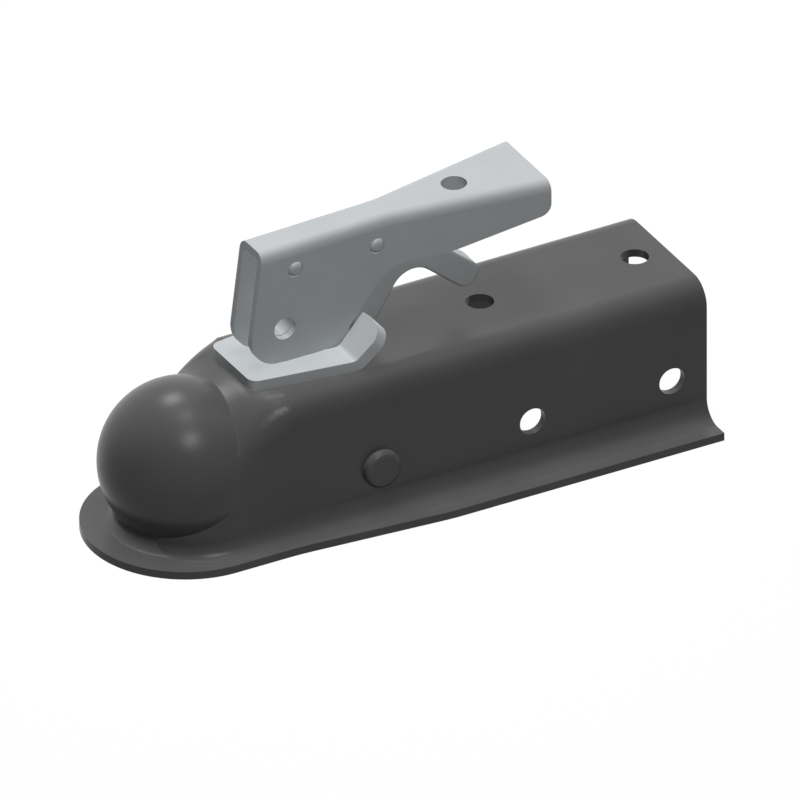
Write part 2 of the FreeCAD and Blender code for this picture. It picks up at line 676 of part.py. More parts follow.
def make_latch_plate():
    body = new_body("latch_plate_blank")
    side = new_sketch(body, "plate_side", "XZ_Plane")
    under_bend = "plate_bend + plate_gauge * tan(flap_angle * 0.5deg)"
    draw_polygon(side, [
        ("plate_front", "channel_top"),
        (under_bend, "channel_top"),
        ("flap_end + plate_gauge * sin(flap_angle * 1deg)",
         "flap_rise - plate_gauge * cos(flap_angle * 1deg)"),
        ("flap_end", "flap_rise"),
        ("plate_bend", "plate_top"),
        ("plate_front", "plate_top"),
    ])
    symmetric(body, "Pad", "plate_blank", side, "3 * flap_half")
    fillet(body, "plate_inner_bend", "bend_radius", cross_edge_at("plate_bend", "plate_top"))
    fillet(body, "plate_outer_bend", "bend_radius + plate_gauge", cross_edge_at(under_bend, "channel_top"))

    plan = new_sketch(body, "plate_plan", "XY_Plane")
    far = "flap_end + 2 * plate_gauge"
    far_half = "flap_half + 2 * plate_gauge * flap_spread"
    for sign in ("", "-"):
        draw_polygon(plan, [
            ("plate_front - overlap", sign + "plate_front_half"),
            ("plate_bend", sign + "plate_bend_half"),
            (far, sign + "(" + far_half + ")"),
            (far, sign + "(2 * flap_half)"),
            ("plate_front - overlap", sign + "(2 * flap_half)"),
        ])
    symmetric(body, "Pocket", "plate_trim", plan, "3 * overall_height")

    front = size("plate_front")
    flap_low = size("plate_top + flap_length * 0.5")

    def front_corner(edge):
        box = edge.BoundBox
        return box.ZLength > box.XLength + box.YLength and abs(box.Center.x - front) < 0.2

    def flap_corner(edge):
        box = edge.BoundBox
        short = abs(edge.Length - size("plate_gauge")) < 0.8
        return short and box.Center.z > flap_low and abs(box.Center.y) > 10 and box.YLength < 2.5

    fillet(body, "plate_front_corners", "plate_corner", front_corner)
    fillet(body, "flap_corners", "flap_corner", flap_corner)

    slots = new_sketch(body, "wall_slots", "XY_Plane")
    draw_rectangle(slots, "wall_slot_start", "-track_outer", "flap_end + 2 * plate_gauge", "track_outer")
    symmetric(body, "Pocket", "flap_gap", slots, "3 * overall_height")

    tongue = new_sketch(body, "tongue_side", "XZ_Plane")
    draw_polygon(tongue, [
        ("wall_slot_start - overlap", "channel_top"), ("tongue_rear", "channel_top"),
        ("tongue_rear", "tongue_top"), ("tongue_front", "tongue_top"),
        ("tongue_front", "plate_top"), ("wall_slot_start - overlap", "plate_top"),
    ])
    symmetric(body, "Pad", "tongue", tongue, "2 * tongue_half")
    fillet(body, "tongue_inner_bend", "tongue_bend", cross_edge_at("tongue_front", "plate_top"))
    fillet(body, "tongue_outer_bend", "tongue_bend + plate_gauge",
           cross_edge_at("tongue_rear", "channel_top"))

    window = new_sketch(body, "window_face", "YZ_Plane", "tongue_rear")
    draw_rectangle(window, "-window_half", "window_low", "window_half", "window_high")
    symmetric(body, "Pocket", "tongue_window", window, "3 * plate_gauge")

    bolt_slot = new_sketch(body, "bolt_slot_plan", "XY_Plane")
    draw_rectangle(bolt_slot, "pivot_place - slot_travel", "-slot_width / 2",
                   "pivot_place + slot_travel", "slot_width / 2")
    symmetric(body, "Pocket", "bolt_slot", bolt_slot, "3 * overall_height")
    for name, sign in (("front", "-"), ("rear", "+")):
        end = new_sketch(body, "slot_end_" + name, "XY_Plane")
        draw_circle(end, "pivot_place %s slot_travel" % sign, "0", "slot_width / 2")
        symmetric(body, "Pocket", "slot_round_" + name, end, "3 * overall_height")

    buttons = new_sketch(body, "button_plan", "XY_Plane", "channel_top - button_height")
    for sign in ("", "-"):
        draw_circle(buttons, "plate_front + button_setback", sign + "button_spread", "button_radius")
    upward_pad(body, "locating_buttons", buttons, "button_height")

    track_wide = "(track_outer - tongue_half)"
    tracks = [
        cylinder("cam_track_" + name, "track_radius", track_wide, "track_centre", foot,
                 "plate_top - track_depth + track_radius", "Y")
        for name, foot in (("right", "tongue_half"), ("left", "-track_outer"))
    ]
    return place(cut("latch_plate", body, tracks))


# Lever: U-folded sheet, open below, at the front and at the rear

def lever_blank(label, inset, reach):
    """The lever's outer form, or with an inset the room between its walls."""
    body = new_body(label)
    side = new_sketch(body, label + "_side", "XZ_Plane")
    if reach:
        front = "lever_front_foot - beyond"
        rear = "handle_rear + beyond"
        rise = "(%s - lever_front_top) * top_slope + lever_front_height - lever_gauge"
        draw_polygon(side, [(front, "plate_top - beyond"), (rear, "plate_top - beyond"),
                            (rear, rise % ("(" + rear + ")")), (front, rise % ("(" + front + ")"))])
    else:
        draw_polygon(side, [
            ("lever_front_top", "lever_front_height"), ("lever_front_foot", "plate_top"),
            ("lever_heel", "plate_top"), ("handle_start", "handle_start_height"),
            ("handle_turn", "handle_turn_height"),
            ("handle_rear", "handle_rear_height"), ("handle_rear", "overall_height"),
        ])
    symmetric(body, "Pad", label + "_block", side, "3 * handle_width")
    if not reach:
        fillet(body, "lever_toe", "toe_radius", cross_edge_at("lever_front_foot", "plate_top"))
        fillet(body, "lever_heel_corner", "heel_radius", cross_edge_at("lever_heel", "plate_top"))
        fillet(body, "lever_throat", "throat_radius", cross_edge_at("handle_start", "handle_start_height"))
        fillet(body, "lever_turn", "turn_radius", cross_edge_at("handle_turn", "handle_turn_height"))
        fillet(body, "lever_tail", "tail_radius", cross_edge_at("handle_rear", "handle_rear_height"))
    plan = new_sketch(body, label + "_plan", "XY_Plane")
    near = "lever_half - (%s)" % inset
    far = "handle_half - (%s)" % inset
    start = "lever_front_foot - 2 * beyond"
    end = "handle_rear + 2 * beyond"
    for sign in ("", "-"):
        draw_polygon(plan, [
            (start, sign + "(" + near + ")"),
            ("spread_start", sign + "(" + near + ")"),
            (end, sign + "(" + far + " + 2 * beyond * handle_spread)"),
            (end, sign + "(3 * handle_width)"),
            (start, sign + "(3 * handle_width)"),
        ])
    symmetric(body, "Pocket", label + "_trim", plan, "3 * overall_height")
    kink = size("spread_start")

    def kink_edge(edge):
        box = edge.BoundBox
        return box.ZLength > 5 and box.XLength < 0.01 and abs(box.Center.x - kink) < 0.01

    fillet(body, label + "_kink", "spread_blend", kink_edge)
    slope = size("top_slope")
    front_x = size("lever_front_top")
    front_z = size("lever_front_height") - (size("lever_gauge") if reach else 0)

    def top_edge(edge):
        box = edge.BoundBox
        middle = edge.valueAt((edge.FirstParameter + edge.LastParameter) / 2)
        on_top = abs(middle.z - front_z - slope * (middle.x - front_x)) < 0.02
        return on_top and box.XLength > 2 and abs(middle.y) > 1

    fillet(body, label + "_bends", "lever_bend - (%s)" % inset, top_edge)
    return body


def make_lever():
    outer = lever_blank("lever_outer", "0", False)
    inner = lever_blank("lever_room", "lever_gauge", True)
    folded = cut("lever_folded", outer, [inner])
    width = "3 * handle_width"
    start = "-1.5 * handle_width"
    holes = [
        cylinder("pivot_hole", "small_pin_radius", width, "pivot_place", start, "pivot_height", "Y"),
        cylinder("trigger_hole", "small_pin_radius", width, "trigger_place", start, "pivot_height", "Y"),
        cylinder("lock_hole", "lock_hole_radius", width, "lock_hole_place", start, "lock_hole_height", "Y"),
        cylinder("handle_hole", "handle_hole_radius", "beyond", "handle_hole_place", "0",
                 "overall_height - beyond / 2"),
    ]
    lever = cut("lever", folded, holes)
    return place(lever)


def domed_pin(label, across):
    """A plain pin through the lever's walls with rounded ends."""
    reach = "(lever_half + pin_dome)"
    shaft = cylinder(label + "_shaft", "small_pin_radius", "2 * " + reach, across, "-" + reach,
                     "pivot_height", "Y")
    doc.recompute()
    pin = doc.addObject("Part::Fillet", label)
    pin.Base = shaft
    rounding = size("pin_rounding")
    rims = [number for number, edge in enumerate(shaft.Shape.Edges, start=1)
            if edge.BoundBox.YLength < 0.01]
    pin.Edges = [(number, rounding, rounding) for number in rims]
    pin.Label = label
    doc.recompute()
    return place(pin)


# Trigger: finger hook behind, tail with a nose in the tongue's window

def make_trigger():
    body = new_body("trigger")
    side = new_sketch(body, "trigger_side", "XZ_Plane")
    draw_polygon(side, [
        ("tail_front", "tail_low"), ("tail_back", "tail_low"), ("arch_place", "arch_height"),
        ("tip_low_place", "tip_low_height"), ("tip_high_place", "tip_high_height"),
        ("step_rear", "spring_step"), ("step_front", "spring_step"),
        ("step_front", "hub_top"), ("hub_front", "hub_top"),
    ])
    symmetric(body, "Pad", "trigger_blank", side, "trigger_width")
    fillet(body, "finger_arch", "arch_radius", cross_edge_at("arch_place", "arch_height"))
    fillet(body, "tip_low", "tip_radius", cross_edge_at("tip_low_place", "tip_low_height"))
    fillet(body, "tip_high", "tip_radius", cross_edge_at("tip_high_place", "tip_high_height"))
    fillet(body, "tail_corner", "tail_corner", cross_edge_at("tail_back", "tail_low"))
    fillet(body, "hub_corner", "hub_radius", cross_edge_at("hub_front", "hub_top"))
    fillet(body, "hub_rear", "hub_rear_radius", cross_edge_at("step_front", "hub_top"))
    half = size("trigger_width / 2")

    def side_edge(edge):
        box = edge.BoundBox
        return box.YLength < 0.01 and abs(abs(box.Center.y) - half) < 0.01

    fillet(body, "trigger_rounding", "trigger_edge", side_edge)
    nose = new_sketch(body, "nose_side", "XZ_Plane")
    draw_rectangle(nose, "tongue_rear - nose_engagement", "nose_low", "tail_front + overlap", "nose_high")
    symmetric(body, "Pad", "nose", nose, "2 * (window_half - nose_side_gap)")
    bore = new_sketch(body, "trigger_bore_face", "XZ_Plane")
    draw_circle(bore, "trigger_place", "pivot_height", "small_pin_radius + running_gap")
    symmetric(body, "Pocket", "trigger_bore", bore, "3 * trigger_width")
    return place(body)


# Pull bolt with its nut and washers

def make_pull_bolt():
    body = new_body("pull_bolt")
    thick = "2 * head_half"
    neck = new_sketch(body, "neck_side", "XZ_Plane")
    draw_polygon(neck, [
        ("pivot_place - neck_half", "pivot_height"), ("lock_hole_place - neck_half", "lock_hole_height"),
        ("pivot_place + shank_radius", "lock_hole_height - lobe_radius"),
        ("pivot_place + neck_half", "pivot_height"),
    ])
    symmetric(body, "Pad", "neck", neck, thick)
    for name, across, upward, radius in (
            ("eye", "pivot_place", "pivot_height", "eye_radius"),
            ("lobe", "lock_hole_place", "lock_hole_height", "lobe_radius")):
        circle = new_sketch(body, name + "_side", "XZ_Plane")
        draw_circle(circle, across, upward, radius)
        symmetric(body, "Pad", name, circle, thick)
    foot = new_sketch(body, "shank_foot", "XY_Plane", "shank_end")
    draw_circle(foot, "pivot_place", "0", "shank_radius")
    upward_pad(body, "shank", foot, "lock_hole_height - shank_end")
    for name, across, upward, radius in (
            ("pivot_bore", "pivot_place", "pivot_height", "small_pin_radius + running_gap"),
            ("lock_bore", "lock_hole_place", "lock_hole_height", "lock_hole_radius")):
        circle = new_sketch(body, name + "_side", "XZ_Plane")
        draw_circle(circle, across, upward, radius)
        symmetric(body, "Pocket", name, circle, "4 * head_half")
    end = size("shank_end")
    bevel = body.newObject("PartDesign::Chamfer", "shank_chamfer")
    bevel.Base = (body.getObject("lock_bore"),
                  edge_names(body.getObject("lock_bore").Shape,
                             lambda edge: abs(edge.BoundBox.ZMax - end) < 0.01))
    bind(bevel, Size="shank_chamfer")
    doc.recompute()
    return place(body)


def make_nut():
    """Six-sided nut with a round collar below that holds the locking ring."""
    hexagon = doc.addObject("Part::Prism", "nut_hexagon")
    hexagon.Polygon = 6
    bind(hexagon, Circumradius="nut_flats / sqrt(3)", Height="nut_height",
         Placement__Base__x="pivot_place", Placement__Base__z="nut_low")
    cone = doc.addObject("Part::Cone", "nut_bevel")
    bind(cone, Radius1="nut_flats / sqrt(3) - nut_chamfer",
         Radius2="nut_flats / sqrt(3) - nut_chamfer + nut_bevel_slope * nut_height",
         Height="nut_height", Placement__Base__x="pivot_place", Placement__Base__z="nut_low")
    bevelled = doc.addObject("Part::Common", "nut_bevelled")
    bevelled.Base = hexagon
    bevelled.Tool = cone
    collar = cylinder("nut_collar", "collar_radius", "collar_height", "pivot_place", "0",
                      "nut_low - collar_height")
    solid = fuse("nut_solid", [bevelled, collar])
    bore = cylinder("nut_bore", "shank_radius", "nut_height + collar_height", "pivot_place", "0",
                    "nut_low - collar_height")
    seat = cylinder("nut_insert_seat", "insert_radius", "insert_seat_height", "pivot_place", "0",
                    "nut_low - collar_height")
    place(cut("adjusting_nut", solid, [bore, seat]))
    place(ring("nut_insert", "insert_radius", "shank_radius", "insert_height", "pivot_place", "0",
               "nut_low - collar_height + insert_seat_height - insert_height"))


def coil(label, radius, wire, turns, across, low, high):
    """A spring whose outer ends lie at two heights."""
    rise = "((%s) - (%s) - 2 * (%s))" % (high, low, wire)
    spine = doc.addObject("Part::Helix", label + "_line")
    spine.Style = 1
    bind(spine, Radius=radius, Height=rise, Pitch="%s / (%s)" % (rise, turns))
    section = doc.addObject("Part::Circle", label + "_wire")
    section.Placement.Rotation = FreeCAD.Rotation(FreeCAD.Vector(1, 0, 0), 90)
    bind(section, Radius=wire, Placement__Base__x=radius)
    doc.recompute()
    sweep = doc.addObject("Part::Sweep", label)
    sweep.Sections = [section]
    sweep.Spine = (spine, ["Edge%d" % number for number in range(1, len(spine.Shape.Edges) + 1)])
    sweep.Solid = True
    sweep.Frenet = True
    sweep.Label = label
    doc.recompute()
    bind(sweep, Placement__Base__z="(%s) + (%s)" % (low, wire))
    bind(sweep, Placement__Base__x="centre_shift + (%s)" % across)
    PIECES.append(sweep)
    return sweep


# Jaw: casting that swings on the pivot sleeve

def make_jaw():
    body = new_body("ball_jaw_casting")
    side = new_sketch(body, "jaw_side", "XZ_Plane")
    draw_polygon(side, [
        ("jaw_nose", "jaw_nose_low"), ("jaw_chin", "jaw_nose_low"), ("jaw_throat", "jaw_under"),
        ("jaw_place", "jaw_under"), ("jaw_place", "jaw_upper"), ("jaw_brow", "jaw_upper"),
        ("jaw_brow - jaw_lip_lean", "jaw_lip"), ("jaw_nose", "jaw_lip"),
    ])
    symmetric(body, "Pad", "jaw_arm", side, "2 * jaw_half")

    corner_x = size("jaw_nose + overlap")

    def long_corner(edge):
        box = edge.BoundBox
        across = abs(abs(box.Center.y) - size("jaw_half")) < 0.01 and box.YLength < 0.01
        return across and box.Center.x > corner_x

    fillet(body, "jaw_rounding", "jaw_edge", long_corner)
    boss = new_sketch(body, "boss_side", "XZ_Plane")
    draw_circle(boss, "jaw_place", "jaw_height", "boss_radius")
    symmetric(body, "Pad", "boss", boss, "2 * boss_half")
    pad = new_sketch(body, "rocking_pad_side", "XZ_Plane")
    draw_circle(pad, "pivot_place", "(pad_low + pad_high) / 2", "(pad_high - pad_low) / 2")
    symmetric(body, "Pad", "rocking_pad", pad, "2 * pad_half")
    bore = new_sketch(body, "jaw_bore_side", "XZ_Plane")
    draw_circle(bore, "jaw_place", "jaw_height", "sleeve_radius + running_gap")
    symmetric(body, "Pocket", "jaw_bore", bore, "3 * channel_width")
    slot = new_sketch(body, "jaw_slot_plan", "XY_Plane")
    draw_rectangle(slot, "jaw_slot_front", "-slot_width / 2", "jaw_slot_rear", "slot_width / 2")
    symmetric(body, "Pocket", "jaw_slot", slot, "3 * overall_height")
    ball = doc.addObject("Part::Sphere", "ball_hollow")
    bind(ball, Radius="ball_radius + ball_gap", Placement__Base__x="dome_centre",
         Placement__Base__z="dome_height")
    return place(cut("ball_jaw", body, [ball]))


def make_jaw_pin():
    """Headed pin through both walls; both heads alike once it is riveted."""
    reach = "channel_half"
    shaft = cylinder("jaw_pin_shaft", "jaw_pin_radius", "2 * " + reach, "jaw_place", "-" + reach,
                     "jaw_height", "Y")
    heads = []
    for name, foot, outer in (("near", "-channel_half - jaw_head_height", "-channel_half - jaw_head_height"),
                              ("far", "channel_half", "channel_half + jaw_head_height")):
        disc = cylinder("jaw_head_disc_" + name, "jaw_head_radius", "jaw_head_height", "jaw_place",
                        foot, "jaw_height", "Y")
        doc.recompute()
        face = size(outer)
        head = doc.addObject("Part::Fillet", "jaw_head_" + name)
        head.Base = disc
        rounding = size("jaw_head_edge")
        rims = [number for number, edge in enumerate(disc.Shape.Edges, start=1)
                if edge.BoundBox.YLength < 0.01 and abs(edge.BoundBox.Center.y - face) < 0.01]
        head.Edges = [(number, rounding, rounding) for number in rims]
        heads.append(head)
    return place(fuse("jaw_pivot_pin", [shaft] + heads))


make_housing()
make_latch_plate()
make_lever()
domed_pin("lever_pivot_pin", "pivot_place")
domed_pin("trigger_pin", "trigger_place")
make_trigger()
make_pull_bolt()
make_nut()
place(ring("jaw_washer", "washer_radius", "shank_radius + running_gap", "washer_gauge", "pivot_place", "0",
           "nut_top"))
place(ring("spring_seat_washer", "seat_radius", "shank_radius + shank_gap", "washer_gauge", "pivot_place",
           "0", "seat_low"))
coil("jaw_spring", "spring_radius", "spring_wire", "spring_turns", "pivot_place",
     "pad_high + spring_gap", "seat_low - spring_gap")
coil("trigger_spring", "small_spring_radius", "small_spring_wire", "small_spring_turns",
     "small_spring_place", "spring_step + spring_gap",
     "(small_spring_place - small_spring_radius - small_spring_wire - lever_front_top) * top_slope"
     " + lever_front_height - lever_gauge - spring_gap")
make_jaw()
make_jaw_pin()
place(ring("jaw_pivot_sleeve", "sleeve_radius", "jaw_pin_radius", "2 * channel_inner_half", "jaw_place",
           "-channel_inner_half", "jaw_height", "Y"))
for shim_name, shim_foot in (("left", "channel_inner_half - side_play - shim_gauge"),
                             ("right", "-(channel_inner_half - side_play)")):
    place(ring("jaw_side_washer_" + shim_name, "shim_radius", "sleeve_radius + running_gap", "shim_gauge",
               "jaw_place", shim_foot, "jaw_height", "Y"))

doc.recompute()
for thing in doc.Objects:
    troubles = [state for state in thing.State if state in ("Invalid", "Error")]
    if troubles:
        raise RuntimeError("%s could not be made: %s" % (thing.Label, thing.State))

os.makedirs("parts", exist_ok=True)
for piece in PIECES:
    node = piece.Label
    if piece.Shape.isNull() or not piece.Shape.isValid() or not piece.Shape.Solids:
        raise RuntimeError("%s is not a sound solid" % node)
    piece.Shape.exportStep("parts/%s.step" % node)
    print(node, len(piece.Shape.Solids), round(piece.Shape.Volume, 1))
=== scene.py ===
import math

import bmesh
import bpy
from mathutils import Matrix, Vector


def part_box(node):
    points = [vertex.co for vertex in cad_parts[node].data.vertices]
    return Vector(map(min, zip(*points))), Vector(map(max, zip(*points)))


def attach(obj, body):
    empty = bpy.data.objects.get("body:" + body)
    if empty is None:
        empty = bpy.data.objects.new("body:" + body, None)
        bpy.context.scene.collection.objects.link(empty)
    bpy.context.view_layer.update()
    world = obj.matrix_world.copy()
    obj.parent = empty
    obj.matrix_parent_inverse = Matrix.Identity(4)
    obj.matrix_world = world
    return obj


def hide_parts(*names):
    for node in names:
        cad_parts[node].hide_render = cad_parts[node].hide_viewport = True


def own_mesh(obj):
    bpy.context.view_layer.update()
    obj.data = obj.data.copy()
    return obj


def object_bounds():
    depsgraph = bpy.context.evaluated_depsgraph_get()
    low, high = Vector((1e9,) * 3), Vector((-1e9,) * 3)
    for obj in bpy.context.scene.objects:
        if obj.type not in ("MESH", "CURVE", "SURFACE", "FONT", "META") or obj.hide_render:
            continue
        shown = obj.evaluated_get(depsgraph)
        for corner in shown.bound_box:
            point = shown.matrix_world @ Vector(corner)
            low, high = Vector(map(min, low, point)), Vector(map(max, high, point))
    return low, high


bl_info = {
    "name": "Trailer Coupling Head",
    "version": (1, 0, 0),
    "blender": (4, 5, 0),
    "location": "View3D > Sidebar > Coupling",
    "description": "Finishes, thread, trigger spring and studio stage for a trailer coupling head",
    "category": "Object",
}

MM = 0.001

# Mean values of the noise and the crystal textures
NOISE_MEAN = 0.5
CRYSTAL_MEAN = 0.4

# Waves per metre along X, Y and Z of the lines that rolling, cutting or turning leaves
ROLLED_ALONG = (60, 900, 900)
CUT_ALL_WAYS = (500, 500, 500)
TURNED_ACROSS = (700, 120, 700)
TURNED_UPRIGHT = (700, 700, 160)

TURNED_PIECES = ("lever_pivot_pin", "trigger_pin", "jaw_washer", "spring_seat_washer",
                 "jaw_pivot_sleeve", "jaw_side_washer_left", "jaw_side_washer_right")

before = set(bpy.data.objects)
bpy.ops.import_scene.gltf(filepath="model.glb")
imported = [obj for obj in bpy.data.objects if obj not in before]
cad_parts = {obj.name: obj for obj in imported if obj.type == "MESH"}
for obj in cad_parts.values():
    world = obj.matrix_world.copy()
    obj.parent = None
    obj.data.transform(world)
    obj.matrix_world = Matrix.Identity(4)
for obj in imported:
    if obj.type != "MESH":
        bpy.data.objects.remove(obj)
CAD_LOW, CAD_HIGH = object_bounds()
CENTRE = (CAD_LOW + CAD_HIGH) / 2
BOLT_LOW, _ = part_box("pull_bolt")
NUT_LOW, NUT_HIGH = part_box("adjusting_nut")
SPRING_LOW, SPRING_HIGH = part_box("trigger_spring")


# Sizes and colours

class CouplingStageSettings(bpy.types.PropertyGroup):
    azimuth: bpy.props.FloatProperty(
        name="Azimuth", description="Direction the camera looks from, 0 faces the near side",
        default=math.radians(-29.3), subtype="ANGLE")
    elevation: bpy.props.FloatProperty(
        name="Elevation", description="Camera's height above the horizon",
        default=math.radians(30.9), subtype="ANGLE")
    frame_width: bpy.props.FloatProperty(
        name="Frame width", description="Width that the parallel camera takes in",
        default=286.0 * MM, unit="LENGTH")
    aim_right: bpy.props.FloatProperty(
        name="Aim right", description="Middle of the picture, to the right of the part's middle",
        default=7.44 * MM, unit="LENGTH")
    aim_down: bpy.props.FloatProperty(
        name="Aim down", description="Middle of the picture, below the part's middle",
        default=22.9 * MM, unit="LENGTH")
    camera_distance: bpy.props.FloatProperty(
        name="Camera distance", description="From the part to the parallel camera",
        default=1.5, unit="LENGTH")
    back_light: bpy.props.FloatProperty(
        name="Back light", description="White card's brightness under the upper rear lamp",
        default=0.35)
    front_light: bpy.props.FloatProperty(
        name="Front light", description="White card's brightness under the upper front lamp",
        default=0.40)
    fill_light: bpy.props.FloatProperty(
        name="Fill light", description="White card's brightness under the rear lamp without glints",
        default=0.50)
    top_light: bpy.props.FloatProperty(
        name="Top light", description="White card's brightness under the lamp with a shadow",
        default=0.17)
    back_from: bpy.props.FloatVectorProperty(
        name="Back lamp from", description="Right, up and towards the camera, seen from the part",
        size=3, default=(-0.23, 0.83, -0.484))
    front_from: bpy.props.FloatVectorProperty(
        name="Front lamp from", description="Right, up and towards the camera, seen from the part",
        size=3, default=(0.12, 0.82, 0.55))
    fill_from: bpy.props.FloatVectorProperty(
        name="Fill lamp from", description="Right, up and towards the camera, seen from the part",
        size=3, default=(-0.18, 0.79, -0.58))
    lamp_distance: bpy.props.FloatProperty(
        name="Lamp distance", description="From the part to each lamp", default=1.1, unit="LENGTH")
    lamp_size: bpy.props.FloatProperty(
        name="Lamp size", description="Side of each square lamp", default=0.30, unit="LENGTH")
    ambient: bpy.props.FloatProperty(
        name="Ambient", description="Brightness of the surroundings as the part sees them",
        default=0.04)
    floor_glow: bpy.props.FloatProperty(
        name="Floor glow", description="Share of the floor's white that a shadow can't take",
        default=0.85)
    floor_white: bpy.props.FloatProperty(
        name="Floor white", description="Share of the other light that the floor returns",
        default=0.95)
    floor_bounce: bpy.props.FloatProperty(
        name="Floor bounce", description="Share of its light that the floor throws on the part",
        default=0.16)
    floor_reach: bpy.props.FloatProperty(
        name="Floor reach", description="From the floor's middle to its sides",
        default=4.0, unit="LENGTH")
    floor_gap: bpy.props.FloatProperty(
        name="Floor gap", description="From the foot flange down to the floor",
        default=0.05 * MM, unit="LENGTH")


class CouplingFinishSettings(bpy.types.PropertyGroup):
    paint: bpy.props.FloatVectorProperty(
        name="Housing paint", description="Charcoal satin paint of the pressed housing",
        subtype="COLOR", size=3, min=0, max=1, default=(0.087, 0.087, 0.0858))
    zinc: bpy.props.FloatVectorProperty(
        name="Zinc", description="Bright zinc of the lever, plate, pins and washers",
        subtype="COLOR", size=3, min=0, max=1, default=(0.436, 0.457, 0.470))
    casting: bpy.props.FloatVectorProperty(
        name="Casting", description="Zinc over the jaw's cast surface",
        subtype="COLOR", size=3, min=0, max=1, default=(0.36, 0.375, 0.385))
    bolt_steel: bpy.props.FloatVectorProperty(
        name="Bolt steel", description="Plated steel of the pull bolt and its nut",
        subtype="COLOR", size=3, min=0, max=1, default=(0.425, 0.445, 0.457))
    spring_steel: bpy.props.FloatVectorProperty(
        name="Spring steel", description="Drawn wire of both springs",
        subtype="COLOR", size=3, min=0, max=1, default=(0.30, 0.305, 0.31))
    nylon: bpy.props.FloatVectorProperty(
        name="Locking ring", description="Nylon ring in the nut",
        subtype="COLOR", size=3, min=0, max=1, default=(0.72, 0.72, 0.69))


class CouplingThreadSettings(bpy.types.PropertyGroup):
    pitch: bpy.props.FloatProperty(
        name="Pitch", description="Distance from one turn of the bolt's thread to the next",
        default=1.27 * MM, unit="LENGTH")
    crest: bpy.props.FloatProperty(
        name="Crest", description="How far the thread stands out of the bolt's shank",
        default=0.28 * MM, unit="LENGTH")
    length: bpy.props.FloatProperty(
        name="Length", description="Threaded length above the bolt's lower end",
        default=27.0 * MM, unit="LENGTH")
    steps: bpy.props.IntProperty(
        name="Steps", description="Facets in one turn of the thread", default=28)
    shank: bpy.props.FloatProperty(
        name="Shank", description="Radius of the bolt's plain shank",
        default=4.0 * MM, unit="LENGTH")
    sink: bpy.props.FloatProperty(
        name="Sink", description="How deep the thread's foot lies in the shank",
        default=0.25 * MM, unit="LENGTH")
    lead_in: bpy.props.FloatProperty(
        name="Lead-in", description="Plain end below the first turn",
        default=1.0 * MM, unit="LENGTH")
    foot_share: bpy.props.FloatProperty(
        name="Foot share", description="Half width of the thread's foot, as a share of the pitch",
        default=0.46)
    tip_share: bpy.props.FloatProperty(
        name="Tip share", description="Half width of the thread's tip, as a share of the pitch",
        default=0.07)


class CouplingSpringSettings(bpy.types.PropertyGroup):
    wire: bpy.props.FloatProperty(
        name="Wire", description="Radius of the trigger spring's wire",
        default=0.35 * MM, unit="LENGTH")
    turns: bpy.props.FloatProperty(
        name="Turns", description="Turns of the trigger spring", default=6.0)
    steps: bpy.props.IntProperty(
        name="Steps", description="Facets in one turn of the spring", default=28)
    facets: bpy.props.IntProperty(
        name="Facets", description="Facets round the wire", default=12)
    keep: bpy.props.FloatProperty(
        name="Keep", description="Share of the spring's length left under the pulled trigger",
        default=0.55)


# Shader maths

class Signal:
    """An output socket with arithmetic, so that shader maths reads as an expression."""

    def __init__(self, shader, socket):
        self.shader = shader
        self.socket = socket

    def math(self, operation, left, right):
        return self.shader.add("ShaderNodeMath", {"operation": operation}, {0: left, 1: right})

    def __add__(self, other):
        return self.math("ADD", self, other)

    def __sub__(self, other):
        return self.math("SUBTRACT", self, other)

    def __rsub__(self, other):
        return self.math("SUBTRACT", other, self)

    def __mul__(self, other):
        return self.math("MULTIPLY", self, other)

    def __or__(self, other):
        """The larger of the two, which is 1 where either mask is 1."""
        return self.math("MAXIMUM", self, other)

    __radd__ = __add__
    __rmul__ = __mul__

    def beside(self, name):
        """Another output of the same node."""
        return Signal(self.shader, self.socket.node.outputs[name])


class Shader:
    """A node tree under construction."""

    def __init__(self, tree, output):
        self.tree = tree
        self.tree.nodes.clear()
        self.output = self.tree.nodes.new(output)

    def add(self, kind, settings=None, inputs=None, output=0):
        """A node with its settings first and its sockets after; returns one of its outputs."""
        node = self.tree.nodes.new(kind)
        for name, value in (settings or {}).items():
            if name == "stops":
                for element, (place, level) in zip(node.color_ramp.elements, value):
                    element.position = place
                    element.color = (level, level, level, 1)
            else:
                setattr(node, name, value)
        for name, value in (inputs or {}).items():
            self.feed(node.inputs[name], value)
        return Signal(self, node.outputs[output])

    def feed(self, socket, value):
        if isinstance(value, Signal):
            self.tree.links.new(value.socket, socket)
        elif socket.type == "RGBA" and len(value) == 3:
            socket.default_value = (*value, 1)
        else:
            socket.default_value = value

    def show(self, signal):
        """Lead a shader to the tree's output."""
        self.tree.links.new(signal.socket, self.output.inputs["Surface"])

    def seen_by_eye(self):
        """1 for camera, glossy and transmission rays, 0 for the rest."""
        camera = self.add("ShaderNodeLightPath", output="Is Camera Ray")
        return camera | camera.beside("Is Glossy Ray") | camera.beside("Is Transmission Ray")


